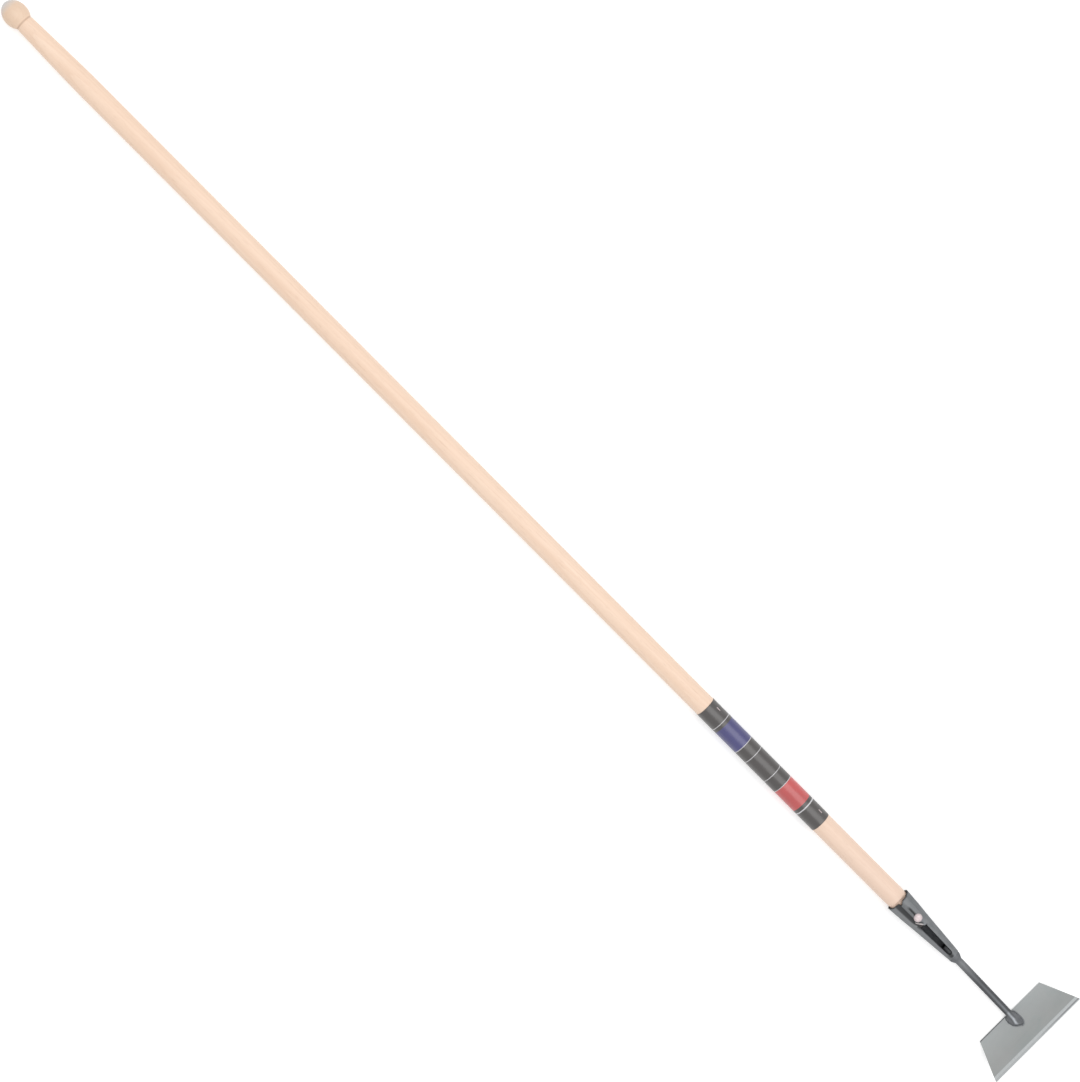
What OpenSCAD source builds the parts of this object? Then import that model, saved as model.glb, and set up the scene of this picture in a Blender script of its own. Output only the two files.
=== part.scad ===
// Dutch hoe, lying on the ground with the top side of its blade up.
// The handle runs along X with its knob at -X and the blade at +X. All sizes are in millimetres.

/* [Handle] */
// Length of the wooden handle, knob to tail
handle_len = 1600; // [1200:10:1800]
// Diameter of the straight shank
shank_d = 28; // [26:0.5:30]
// Largest diameter of the egg-shaped knob, which rests on the ground
knob_d = 31.2; // [31:0.1:36]
// Length of the knob, end to neck line
knob_len = 33; // [30:1:45]
// Diameter of the neck right behind the knob
knob_neck_d = 22.6; // [18:0.2:25]
// Length over which the neck swells to the shank
neck_taper_len = 100; // [60:1:140]
// Radius that the tail loses between the sleeve and the socket
tail_ease = 0.1; // [0.1:0.05:0.4]
// Straight run of the tail above the sleeve
tail_lead = 20; // [5:1:60]
// Chamfer on the tail's hidden end
tail_chamfer = 2; // [1:0.5:4]

/* [Label sleeve] */
// Length of the film sleeve
sleeve_len = 206; // [120:1:300]
// Bare wood between the sleeve and the socket
sleeve_above_socket = 139; // [40:1:200]
// Thickness of the film
film_t = 0.45; // [0.3:0.05:1]
// Play between film and wood
film_fit = 0.05; // [0.02:0.01:0.15]

/* [Staples] */
// Length of a staple's crown, along the handle
staple_crown = 6; // [4:0.5:10]
// Width of the staple wire
staple_wire_w = 1.1; // [0.8:0.1:1.4]
// Thickness of the staple wire
staple_wire_t = 0.6; // [0.4:0.1:1]
// Length of a leg below the crown
staple_leg = 7; // [4:0.5:9]
// Distance from the sleeve's end to the middle of a staple
staple_inset = 12; // [8:0.5:30]
// Turn of the staples round the handle, from the top towards +Y
staple_turn = 40; // [0:1:80]
// Play round a staple's legs
staple_fit = 0.1; // [0.05:0.05:0.2]
// Play under a staple's crown
staple_seat = 0.02; // [0.01:0.01:0.1]

/* [Socket] */
// Length of the rolled socket, mouth to nose
socket_len = 102; // [95:1:130]
// Thickness of its sheet
socket_wall = 1.5; // [1.2:0.1:2]
// Play between socket and wood
socket_fit = 0.1; // [0.05:0.05:0.2]
// Length of the gently tapered mouth
mouth_len = 24; // [12:1:28]
// Radius lost over the mouth
mouth_taper = 1.2; // [0.4:0.05:2]
// Outer diameter where the nose begins
waist_d = 17.9; // [16:0.1:19]
// Length of the nose
nose_len = 12; // [6:0.5:16]
// Outer diameter at the end of the nose
nose_d = 15.2; // [13:0.1:15.8]
// Depth of the wood in the socket
grip_depth = 45; // [43:1:60]
// Length of the thick collar that grips the rod
collar_len = 17; // [12:1:24]

/* [Seam] */
// Length of the lapped seam, from the mouth
lap_len = 39.6; // [37:0.1:41]
// Slit between the lap's end and the closed cone
lap_slit = 0.6; // [0.3:0.1:1]
// How far the outer lip passes the crown line, towards -Y
lap_over = 2.6; // [1:0.1:4]
// Turn from the crown line to the inner lip's edge, towards +Y
inner_lip_turn = 27; // [20:1:30]
// Turn from the crown line to the joggle, towards +Y
joggle_turn = 36; // [34:1:50]
// Turn that the joggle takes up
joggle_sweep = 11; // [6:1:20]
// Play between the lapped lips
lap_gap = 0.15; // [0.1:0.05:0.4]

/* [Slot] */
// Metal left between the lap's slit and the slot
slot_land = 0.7; // [0.5:0.1:8]
// Bridge of closed metal between the slot and the end of the nose
slot_bridge = 5; // [3:0.5:10]
// Width of the slot at its upper end
slot_w = 9.6; // [6:0.1:11]
// Width of the slot at its lower end
slot_end_w = 7.2; // [4:0.1:8]
// Offset of the slot from the crown line, towards -Y
slot_shift = 1; // [0:0.1:1.5]

/* [Rivet] */
// Distance of the rivet from the socket's mouth
rivet_at = 31.5; // [20:0.5:32]
// Turn of the rivet round the handle, from the top towards +Y
rivet_turn = 7; // [0:0.5:10]
// Diameter of its shank
rivet_d = 5; // [3:0.5:6]
// Diameter of its head
rivet_head_d = 11; // [8:0.2:12]
// Height of its head
rivet_head_h = 2.8; // [2:0.1:3.5]
// Diameter of its peened tail
rivet_tail_d = 9; // [8:0.2:11]
// Height of its peened tail
rivet_tail_h = 1.3; // [0.8:0.1:1.6]
// Play round its shank
rivet_fit = 0.1; // [0.05:0.05:0.2]

/* [Neck] */
// Diameter of the rod at the socket
rod_d = 9.8; // [8:0.1:10.5]
// Diameter of the rod at the palm
rod_end_d = 9.2; // [7.5:0.1:9.8]
// Play between rod and collar
rod_fit = 0.1; // [0.05:0.05:0.2]
// Straight run of the rod past the socket's weld
rod_lead = 3; // [1:0.5:10]
// Centreline radius of the gentle set below the socket
set_bend_r = 40; // [25:1:60]
// Centreline radius of the bend at the heel
heel_bend_r = 10; // [8:0.5:12]
// How far a bend reaches into the straight run on either side
bend_root = 0.5; // [0.3:0.1:0.8]
// Radius that the rod loses in a bend
bend_step = 0.1; // [0.05:0.01:0.2]
// Distance from the heel to where the rod lies down on the blade
lie_down = 5.5; // [5.5:0.1:8]
// Height of the rod's underside over the blade, which the palm fills
rod_seat = 0.3; // [0.2:0.1:0.8]

/* [Palm] */
// Width of the flattened palm
palm_w = 15.6; // [12:0.2:20]
// Thickness of the palm
palm_t = 3; // [2:0.1:4]
// Distance from the heel to the palm's near end
palm_start = 2; // [1.8:0.1:5]
// Distance from the heel to the palm's far end
palm_end = 24.5; // [20:0.5:32]
// Diameter of the ridge where it fades out near the palm's far end
ridge_end_d = 5; // [3:0.2:6.5]
// Distance from the ridge's end to the palm's far end
ridge_stop = 5; // [3:0.5:8]

/* [Blade] */
// Width of the cutting edge
blade_w = 149; // [120:1:180]
// Width of the heel edge
heel_w = 106; // [80:1:118]
// Depth of the blade, heel to cutting edge
blade_depth = 53.5; // [42:0.5:70]
// Thickness of the sheet
blade_t = 2; // [1.5:0.1:3]
// Pitch of the blade against the handle
blade_pitch = 42; // [38:1:48]
// Width of the ground bevel
bevel_len = 6; // [3:0.5:10]
// Thickness left at the cutting edge
edge_t = 0.4; // [0.2:0.05:0.8]
// Distance along the handle from the socket's nose to the heel
blade_reach = 109; // [95:1:140]

/* [Welds] */
// Length of the fillet weld along the rod
nose_weld_len = 8; // [4:0.5:10]
// How far the fillet weld's foot stays inside the nose's rim
nose_weld_step = 0.2; // [0.1:0.1:0.6]
// Width of the bead round the palm
palm_weld_w = 1.3; // [0.8:0.1:1.8]
// Height of the bead round the palm
palm_weld_h = 1.5; // [0.8:0.1:2]

/* [Hidden] */
$fn = 96;

ash = [0.95, 0.84, 0.76];
charcoal = [0.38, 0.37, 0.37];
bright_steel = [0.88, 0.85, 0.85];
grey_lacquer = [0.47, 0.48, 0.50];
blade_steel = [0.64, 0.65, 0.65];

// Oversize that carries a cut clear of the faces it opens
cut = 1;
// Turn by which the seam's joggle and lip run into each other
seam_tuck = 1;
// Steps along the knob's curve and round the ridge's end
knob_steps = 28;
ridge_steps = 8;

// Places along X, worked out from the knob's end to the cutting edge
visible_len = handle_len - grip_depth;
heel_from_knob = visible_len + socket_len + blade_reach;
total_len = heel_from_knob + blade_depth * cos(blade_pitch);
knob_x = -total_len / 2;
mouth_x = knob_x + visible_len;
nose_x = mouth_x + socket_len;
heel_x = nose_x + blade_reach;

// The knob and the heel rest on the ground, so the handle's axis is level
axis_z = knob_d / 2;
shank_r = shank_d / 2;
tail_r = shank_r - tail_ease;
sleeve_end = visible_len - sleeve_above_socket;
sleeve_start = sleeve_end - sleeve_len;
tail_start = sleeve_start - tail_lead;
rod_r = rod_d / 2;
rod_end_r = rod_end_d / 2;
collar_r = rod_r + rod_fit;

// The egg's long half axis, so that it meets the neck's diameter at the neck line
neck_share = sqrt(1 - pow(knob_neck_d / knob_d, 2));
egg_half = knob_len / (1 + neck_share);
egg_turn = 180 - asin(knob_neck_d / knob_d);

// Outer radius of the socket's sheet at a distance from the mouth
mouth_r = tail_r + socket_fit + socket_wall;
function socket_r(w) = lookup(w, [
    [0, mouth_r],
    [mouth_len, mouth_r - mouth_taper],
    [socket_len - nose_len, waist_d / 2],
    [socket_len, nose_d / 2]
]);
function wood_r(w) = socket_r(w) - socket_wall - socket_fit;
function lap_r(w) = socket_r(w) + lap_gap;

// Radius of the eased tail at a distance from the knob's end
function eased_r(t) = lookup(t, [[tail_start, shank_r], [visible_len, tail_r]]);

// The rod's path in the XZ plane: two arcs and the straight line that touches both
set_x = nose_x + nose_weld_len + rod_lead;
set_centre = [set_x, axis_z - set_bend_r];
blade_dir = [cos(blade_pitch), sin(blade_pitch)];
blade_up = [-sin(blade_pitch), cos(blade_pitch)];
ridge_run = palm_end - ridge_stop - lie_down;
ridge_drop = (rod_end_d - ridge_end_d) / 2;
ridge_slope = atan2(ridge_drop, ridge_run);
ridge_len = norm([ridge_run, ridge_drop]);
lie_angle = blade_pitch - ridge_slope;
lie_up = [-sin(lie_angle), cos(lie_angle)];
lie_height = blade_t + rod_seat + rod_end_r * cos(ridge_slope);
lie_point = [heel_x, 0] + lie_down * blade_dir + lie_height * blade_up;
bend_centre = lie_point + heel_bend_r * lie_up;
between = bend_centre - set_centre;
line_fall = asin((set_bend_r + heel_bend_r) / norm(between)) - atan2(between[1], between[0]);
line_dir = [cos(line_fall), -sin(line_fall)];
line_up = [sin(line_fall), cos(line_fall)];
line_start = set_centre + set_bend_r * line_up;
line_end = bend_centre - heel_bend_r * line_up;

// Puts children that stand on Z along the handle's axis, at a distance from the knob's end
module along_handle(t = 0) {
    translate([knob_x + t, 0, axis_z])
        rotate([0, 90, 0])
            children();
}

// Revolves a profile of [radius, distance] round the socket's axis, from one turn to another.
// A turn is measured from the crown line, positive towards +Y.
module rolled(from = 180, to = -180) {
    along_handle(visible_len)
        rotate([0, 0, 180 - from])
            rotate_extrude(angle = from - to)
                children();
}

// Points Z outward from the handle's axis, turned from the top towards +Y
module outward(x, turn) {
    translate([x, 0, axis_z])
        rotate([-turn, 0, 0])
            children();
}

// Lays children on the blade: X from heel to edge, Z up from its underside
module on_blade() {
    translate([heel_x, 0, 0])
        rotate([0, -blade_pitch, 0])
            children();
}

// A round bar bent in the XZ plane: centre, radius, first angle and sweep, with roots in the runs it joins
module bend(centre, r, from, sweep, thick) {
    root = bend_root / r * 180 / PI;
    translate([centre[0], 0, centre[1]])
        rotate([90, 0, 0])
            rotate([0, 0, from - root])
                rotate_extrude(angle = sweep + 2 * root)
                    translate([r, 0])
                        circle(r = thick - bend_step);
}

// The handle as turned, before it is drilled
module turned_handle() {
    egg = [for (i = [0:knob_steps])
        let (a = egg_turn * i / knob_steps)
        [knob_d / 2 * sin(a), egg_half * (1 - cos(a))]];
    tail_end_r = wood_r(grip_depth);
    along_handle()
        rotate_extrude()
            polygon(concat(egg, [
                [shank_r, knob_len + neck_taper_len],
                [shank_r, tail_start],
                [tail_r, visible_len],
                [wood_r(mouth_len), visible_len + mouth_len],
                [wood_r(grip_depth - tail_chamfer), handle_len - tail_chamfer],
                [tail_end_r - tail_chamfer, handle_len],
                [0, handle_len]
            ]));
}

// The rivet's bore, drilled through socket and wood
module rivet_bore() {
    outward(mouth_x + rivet_at, rivet_turn)
        cylinder(h = 4 * mouth_r, r = rivet_d / 2 + rivet_fit, center = true);
}

// Middle of a staple, from the knob's end, and the film's outside there
staple_places = [sleeve_start + staple_inset, sleeve_end - staple_inset];
function film_r(t) = eased_r(t) + film_fit + film_t;

// One staple, or the room for its legs when play is given
module staple(t, play = 0) {
    leg = [staple_wire_t + 2 * play, staple_wire_w + 2 * play, staple_leg + 2 * play];
    crown = [staple_crown, staple_wire_w, staple_wire_t];
    outward(knob_x + t, staple_turn)
        translate([0, 0, film_r(t) + staple_seat]) {
            for (side = [-1, 1])
                translate([side * (staple_crown - staple_wire_t) / 2, 0, (staple_wire_t - staple_leg) / 2])
                    cube(leg, center = true);
            translate([0, 0, staple_wire_t / 2])
                cube(crown, center = true);
        }
}

module handle() {
    color(ash)
        difference() {
            turned_handle();
            rivet_bore();
            for (t = staple_places)
                staple(t, staple_fit);
        }
}

module label_sleeve() {
    color(charcoal)
        difference() {
            along_handle()
                rotate_extrude()
                    polygon([
                        [eased_r(sleeve_start) + film_fit, sleeve_start],
                        [film_r(sleeve_start), sleeve_start],
                        [film_r(sleeve_end), sleeve_end],
                        [eased_r(sleeve_end) + film_fit, sleeve_end]
                    ]);
            for (t = staple_places)
                staple(t, staple_fit);
        }
}

module sleeve_staples() {
    color(bright_steel)
        for (t = staple_places)
            staple(t);
}

// Stations where the socket's outline bends, where it closes, and the collar inside its nose
socket_bends = [0, mouth_len, socket_len - nose_len, socket_len];
cone_start = lap_len + lap_slit;
collar_start = socket_len - collar_len;
funnel_start = collar_start - collar_len;

// Sheet of the socket from its mouth to a station, between two radii added to its outline
module mouth_profile(w1, inner, outer) {
    stations = concat([for (w = socket_bends) if (w < w1) w], [w1]);
    last = len(stations) - 1;
    polygon(concat(
        [for (w = stations) [socket_r(w) + outer, w]],
        [for (i = [last:-1:0]) [socket_r(stations[i]) + inner, stations[i]]]
    ));
}

// The whole sheet, with the funnel that narrows to the collar on the rod
module shell_profile() {
    polygon(concat(
        [for (w = socket_bends) [socket_r(w), w]],
        [
            [collar_r, socket_len],
            [collar_r, collar_start],
            [socket_r(funnel_start) - socket_wall, funnel_start],
            [socket_r(mouth_len) - socket_wall, mouth_len],
            [socket_r(0) - socket_wall, 0]
        ]
    ));
}

// Tapered slot with round ends, seen from above
module slot_plan() {
    slot_start = cone_start + slot_land;
    slot_end = socket_len - slot_bridge;
    r1 = slot_w / 2;
    r2 = slot_end_w / 2;
    a = slot_start + r1;
    b = slot_end - r2;
    translate([mouth_x, -slot_shift]) {
        translate([a, 0]) circle(r = r1);
        translate([b, 0]) circle(r = r2);
        polygon([[a, -r1], [b, -r2], [b, r2], [a, r1]]);
    }
}

module socket() {
    outer_lip_turn = -asin(lap_over / mouth_r);
    joggle_end = joggle_turn + joggle_sweep;
    lap_top = lap_gap + socket_wall;
    color(grey_lacquer)
        difference() {
            union() {
                difference() {
                    rolled() shell_profile();
                    rolled(joggle_end - seam_tuck, inner_lip_turn)
                        mouth_profile(cone_start, -socket_wall - cut, lap_gap / 2);
                }
                rolled(joggle_end, joggle_turn) mouth_profile(lap_len, -socket_wall, lap_top);
                rolled(joggle_turn + seam_tuck, outer_lip_turn) mouth_profile(lap_len, lap_gap, lap_top);
            }
            rivet_bore();
            translate([0, 0, axis_z])
                linear_extrude(height = 2 * mouth_r)
                    slot_plan();
        }
}

// Everything inside a cone that lies on the socket's outline, for heads that seat on it
module socket_core(outer) {
    rolled()
        polygon(concat([[0, 0]], [for (w = socket_bends) [socket_r(w) + outer, w]], [[0, socket_len]]));
}

// A low dome on the rivet's axis: base diameter, height and the radius it stands on
module rivet_dome(d, h, seat_r) {
    ball_r = (pow(d / 2, 2) + h * h) / (2 * h);
    intersection() {
        cylinder(h = seat_r + h, r = d / 2);
        translate([0, 0, seat_r + h - ball_r])
            sphere(r = ball_r + cut / 100);
    }
}

module handle_rivet() {
    head_seat = lap_r(rivet_at) + socket_wall;
    tail_seat = socket_r(rivet_at);
    color(bright_steel) {
        difference() {
            outward(mouth_x + rivet_at, rivet_turn)
                rivet_dome(rivet_head_d, rivet_head_h, head_seat);
            socket_core(lap_gap + socket_wall);
        }
        difference() {
            outward(mouth_x + rivet_at, rivet_turn + 180)
                rivet_dome(rivet_tail_d, rivet_tail_h, tail_seat);
            socket_core(0);
        }
        outward(mouth_x + rivet_at, rivet_turn)
            translate([0, 0, -tail_seat - rivet_tail_h / 2])
                cylinder(h = tail_seat + head_seat + (rivet_tail_h + rivet_head_h) / 2, r = rivet_d / 2);
    }
}

// The rod from inside the socket to where it lies down on the blade
module rod() {
    rod_start = nose_x - collar_len;
    translate([rod_start, 0, axis_z])
        rotate([0, 90, 0])
            cylinder(h = set_x - rod_start, r = rod_r);
    bend(set_centre, set_bend_r, 90 - line_fall, line_fall, rod_r);
    translate([line_start[0], 0, line_start[1]])
        rotate([0, 90 + line_fall, 0])
            cylinder(h = norm(line_end - line_start), r1 = rod_r, r2 = rod_end_r);
    bend(bend_centre, heel_bend_r, 270 - line_fall, line_fall + lie_angle, rod_end_r);
}

// The rod's last stretch, drawn out into a ridge that slopes down and fades along the palm
module ridge() {
    end_r = ridge_end_d / 2;
    tip = [for (i = [0:ridge_steps])
        let (a = 90 * i / ridge_steps)
        [end_r * cos(a), ridge_len + end_r * sin(a)]];
    translate([lie_point[0], 0, lie_point[1]])
        rotate([0, 90 - lie_angle, 0])
            rotate_extrude()
                polygon(concat([[0, 0], [rod_end_r, 0]], tip));
}

// Outline of the palm with round ends, widened by a margin
module palm_plan(margin = 0) {
    r = palm_w / 2;
    first = palm_start + r;
    last = palm_end - r;
    translate([first, 0]) circle(r = r + margin);
    translate([last, 0]) circle(r = r + margin);
    translate([first, -r - margin]) square([last - first, palm_w + 2 * margin]);
}

module neck() {
    color(grey_lacquer) {
        rod();
        ridge();
        on_blade()
            translate([0, 0, blade_t])
                linear_extrude(height = palm_t)
                    palm_plan();
    }
}

module socket_weld() {
    foot_r = nose_d / 2 - nose_weld_step;
    color(grey_lacquer)
        rolled()
            polygon([
                [rod_r, socket_len],
                [foot_r, socket_len],
                [rod_r, socket_len + nose_weld_len]
            ]);
}

module blade() {
    color(blade_steel)
        on_blade()
            difference() {
                linear_extrude(height = blade_t)
                    polygon([
                        [0, -heel_w / 2],
                        [blade_depth, -blade_w / 2],
                        [blade_depth, blade_w / 2],
                        [0, heel_w / 2]
                    ]);
                rotate([90, 0, 0])
                    linear_extrude(height = blade_w + 2 * cut, center = true)
                        polygon([
                            [blade_depth - bevel_len, blade_t],
                            [blade_depth, edge_t],
                            [blade_depth + cut, edge_t],
                            [blade_depth + cut, blade_t + cut],
                            [blade_depth - bevel_len, blade_t + cut]
                        ]);
            }
}

module foot_weld() {
    color(grey_lacquer)
        difference() {
            on_blade()
                translate([0, 0, blade_t])
                    linear_extrude(height = palm_weld_h)
                        difference() {
                            palm_plan(palm_weld_w);
                            palm_plan();
                        }
            rod();
        }
}

handle();
label_sleeve();
sleeve_staples();
socket();
handle_rivet();
neck();
socket_weld();
blade();
foot_weld();
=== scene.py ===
import math

import bmesh
import bpy
from mathutils import Matrix, Vector


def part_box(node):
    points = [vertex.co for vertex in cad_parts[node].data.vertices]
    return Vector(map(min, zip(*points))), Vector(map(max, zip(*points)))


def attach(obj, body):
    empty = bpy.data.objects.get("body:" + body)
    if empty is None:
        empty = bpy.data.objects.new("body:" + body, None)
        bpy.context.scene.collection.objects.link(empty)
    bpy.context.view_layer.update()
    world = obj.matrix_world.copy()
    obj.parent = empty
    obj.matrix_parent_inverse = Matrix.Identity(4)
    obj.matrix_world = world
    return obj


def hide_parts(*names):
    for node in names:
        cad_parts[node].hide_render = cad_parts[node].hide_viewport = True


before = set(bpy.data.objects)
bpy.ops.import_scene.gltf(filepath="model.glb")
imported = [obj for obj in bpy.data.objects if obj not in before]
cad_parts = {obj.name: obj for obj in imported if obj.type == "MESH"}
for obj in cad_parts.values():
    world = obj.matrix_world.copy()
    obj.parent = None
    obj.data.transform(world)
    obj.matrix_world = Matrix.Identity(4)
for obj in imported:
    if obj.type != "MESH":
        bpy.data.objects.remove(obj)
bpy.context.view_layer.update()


# Blade
# One trapezoid sheared from 2 mm steel sheet and ground to a bevel along its front, with a finer honed
# strip at the very edge. It is satin brushed, clear lacquered and pitched up from its straight heel.

def bench_piece(name, mesh_mm, finish, sharp=32):
    """An object in metres from a mesh in millimetres, with its edges hard from sharp degrees up."""
    bmesh.ops.scale(mesh_mm, vec=(0.001, 0.001, 0.001), verts=mesh_mm.verts)
    for face in mesh_mm.faces:
        face.smooth = True
    for edge in mesh_mm.edges:
        edge.smooth = edge.calc_face_angle(0) < math.radians(sharp)
    mesh = bpy.data.meshes.new(name)
    mesh_mm.to_mesh(mesh)
    mesh_mm.free()
    mesh.materials.append(finish)
    made = bpy.data.objects.new(name, mesh)
    bpy.context.scene.collection.objects.link(made)
    return made


def new_finish(name, **shader):
    """A finish whose shader has these fixed values, with _ for each space in a socket's name."""
    finish = bpy.data.materials.new(name)
    finish.use_nodes = True
    for socket, value in shader.items():
        finish.node_tree.nodes["Principled BSDF"].inputs[socket.replace("_", " ")].default_value = value
    return finish


def node(finish, kind, plugs, **setup):
    """A node of a finish. A plug takes a plain value or the output of another node."""
    made = finish.node_tree.nodes.new("ShaderNode" + kind)
    for name, value in setup.items():
        setattr(made, name, value)
    for plug, value in plugs.items():
        if isinstance(value, bpy.types.NodeSocket):
            finish.node_tree.links.new(value, made.inputs[plug])
        else:
            made.inputs[plug].default_value = value
    return made


def worked(finish, operation, first, second):
    """One value worked out from two, as a sum, a difference, a product or the larger of them."""
    return node(finish, "Math", {0: first, 1: second}, operation=operation).outputs["Value"]


def own_place(finish):
    """The place of each point on the piece, in metres."""
    return node(finish, "TexCoord", {}).outputs["Object"]


def place_mm(finish, axis):
    """How far along one axis each point on the piece lies, in millimetres."""
    metres = node(finish, "SeparateXYZ", {"Vector": own_place(finish)}).outputs[axis]
    return worked(finish, "MULTIPLY", metres, 1000)


def noise(finish, waves, detail=3, roughness=0.55):
    """Noise with so many waves to the metre along each axis, from 0 to 1."""
    drawn = node(finish, "Mapping", {"Vector": own_place(finish), "Scale": waves})
    return node(
        finish, "TexNoise",
        {"Vector": drawn.outputs["Vector"], "Scale": 1, "Detail": detail, "Roughness": roughness},
    ).outputs["Fac"]


def spread(finish, value, low, high, to_low=0.0, to_high=1.0):
    """A value carried over from one range to another and held at its ends."""
    return node(
        finish, "MapRange",
        {"Value": value, "From Min": low, "From Max": high, "To Min": to_low, "To Max": to_high},
    ).outputs["Result"]


def tinted(finish, share, first, second):
    """The first colour going over to the second by a share."""
    return node(finish, "MixRGB", {"Fac": share, "Color1": first, "Color2": second}).outputs["Color"]


def dress(finish, colour, roughness, height, depth):
    """Gives the shader its colour and roughness, and a relief of so many metres."""
    shader = finish.node_tree.nodes["Principled BSDF"]
    relief = node(finish, "Bump", {"Height": height, "Distance": depth, "Strength": 1.0})
    finish.node_tree.links.new(colour, shader.inputs["Base Color"])
    finish.node_tree.links.new(roughness, shader.inputs["Roughness"])
    finish.node_tree.links.new(relief.outputs["Normal"], shader.inputs["Normal"])


blade_pitch = math.radians(42)
blade_depth = 53.5
blade_thick = 2
heel_half = 53
front_half = 74.5
grind_start = 47.5
hone_start = 51.9
hone_thick = 0.78
front_thick = 0.4
sheared_round = 0.18
heel_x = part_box("blade")[0].x * 1000 + blade_thick * math.sin(blade_pitch)
on_blade = Matrix.Translation((heel_x, 0, 0)) @ Matrix.Rotation(-blade_pitch, 4, "Y")

satin_shade = (0.315, 0.338, 0.336, 1)
satin_light = (0.35, 0.358, 0.354, 1)
satin_cool = (0.275, 0.325, 0.32, 1)
painted_heel_sheen = (0.425, 0.45, 0.452, 1)
brushed_light = (0.385, 0.395, 0.395, 1)
ground_shade = (0.425, 0.448, 0.452, 1)
ground_light = (0.5, 0.52, 0.525, 1)
grind_dark = (0.2, 0.2, 0.21, 1)
heel_shade_black = (0.085, 0.09, 0.095, 1)

blade_mesh = bmesh.new()
heel_to_front = ((0, -heel_half), (blade_depth, -front_half), (blade_depth, front_half), (0, heel_half))
blank = blade_mesh.faces.new([blade_mesh.verts.new((up, y, 0)) for up, y in heel_to_front])
raised = bmesh.ops.extrude_face_region(blade_mesh, geom=[blank])["geom"]
raised = [part for part in raised if isinstance(part, bmesh.types.BMVert)]
bmesh.ops.translate(blade_mesh, vec=(0, 0, blade_thick), verts=raised)
for line in (grind_start, hone_start):
    whole = blade_mesh.verts[:] + blade_mesh.edges[:] + blade_mesh.faces[:]
    bmesh.ops.bisect_plane(blade_mesh, geom=whole, plane_co=(line, 0, 0), plane_no=(1, 0, 0))
for corner in blade_mesh.verts:
    if corner.co.z > 0.1 and corner.co.x > blade_depth - 0.01:
        corner.co.z = front_thick
    elif corner.co.z > 0.1 and corner.co.x > hone_start - 0.01:
        corner.co.z = hone_thick
bmesh.ops.recalc_face_normals(blade_mesh, faces=blade_mesh.faces)
sheared = [edge for edge in blade_mesh.edges if edge.calc_face_angle(0) > math.radians(30)]
bmesh.ops.bevel(
    blade_mesh, geom=sheared, offset=sheared_round, offset_type="OFFSET", segments=2, profile=0.5,
    affect="EDGES", clamp_overlap=True, material=-1,
)
bmesh.ops.transform(blade_mesh, matrix=on_blade, verts=blade_mesh.verts)

blade_steel = new_finish("satin_blade_steel", Metallic=0.75, Coat_Weight=0.15, Coat_Roughness=0.3)
from_heel = node(
    blade_steel, "VectorMath", {0: own_place(blade_steel), 1: (heel_x / 1000, 0, 0)}, operation="SUBTRACT",
).outputs["Vector"]
up_blade = node(
    blade_steel, "VectorMath",
    {0: from_heel, 1: (1000 * math.cos(blade_pitch), 0, 1000 * math.sin(blade_pitch))},
    operation="DOT_PRODUCT",
).outputs["Value"]
across_blade = place_mm(blade_steel, "Y")
satin = tinted(
    blade_steel, spread(blade_steel, noise(blade_steel, (26, 18, 26), 2), 0.35, 0.65),
    satin_shade, satin_light,
)
satin = tinted(
    blade_steel, spread(blade_steel, noise(blade_steel, (60, 45, 60), 2), 0.58, 0.74, 0.0, 0.5),
    satin, satin_cool,
)
# Painted sheen: the satin is lighter towards the heel, where the flat blade shows a brighter reflection.
satin = tinted(blade_steel, spread(blade_steel, up_blade, 36, 4, 0.0, 0.75), satin, painted_heel_sheen)
brushing = noise(blade_steel, (1500, 28, 1500), 3)
satin = tinted(blade_steel, spread(blade_steel, brushing, 0.3, 0.7, 0.0, 0.25), satin, brushed_light)
ground = tinted(
    blade_steel, spread(blade_steel, noise(blade_steel, (120, 1300, 120), 2), 0.3, 0.7),
    ground_shade, ground_light,
)
on_grind = spread(blade_steel, up_blade, grind_start - 0.4, grind_start)
blade_colour = tinted(blade_steel, on_grind, satin, ground)
grind_line = worked(
    blade_steel, "MULTIPLY",
    spread(blade_steel, up_blade, hone_start - 1.5, hone_start - 0.7),
    spread(blade_steel, up_blade, hone_start + 0.4, hone_start + 0.1),
)
grind_line = worked(
    blade_steel, "MULTIPLY", grind_line, spread(blade_steel, across_blade, 0, 50, 0.25, 0.9),
)
blade_colour = tinted(blade_steel, grind_line, blade_colour, grind_dark)
# Painted shade: a dark line along the heel, mostly on its -Y half.
heel_shade = worked(
    blade_steel, "MULTIPLY",
    spread(blade_steel, up_blade, 1.8, 1.0), spread(blade_steel, across_blade, 4, -8, 0.0, 0.92),
)
blade_colour = tinted(blade_steel, heel_shade, blade_colour, heel_shade_black)
dress(
    blade_steel, blade_colour,
    spread(blade_steel, noise(blade_steel, (90, 60, 90), 3), 0.3, 0.7, 0.36, 0.5),
    brushing, 0.00004,
)

blade = bench_piece("blade_sheet", blade_mesh, blade_steel, 8)
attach(blade, "root")
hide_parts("blade")


# Neck
# A round mild steel rod, set down a little below the socket, bent up at the heel and hammered out hot at
# its end into a palm with a raised ridge and an oblique tip. Its grey lacquer was dipped over forge scale.

def ease(value, low, high):
    """A smooth step from 0 at low to 1 at high, which may lie the other way round."""
    share = min(max((value - low) / (high - low), 0.0), 1.0)
    return share * share * (3 - 2 * share)


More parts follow.
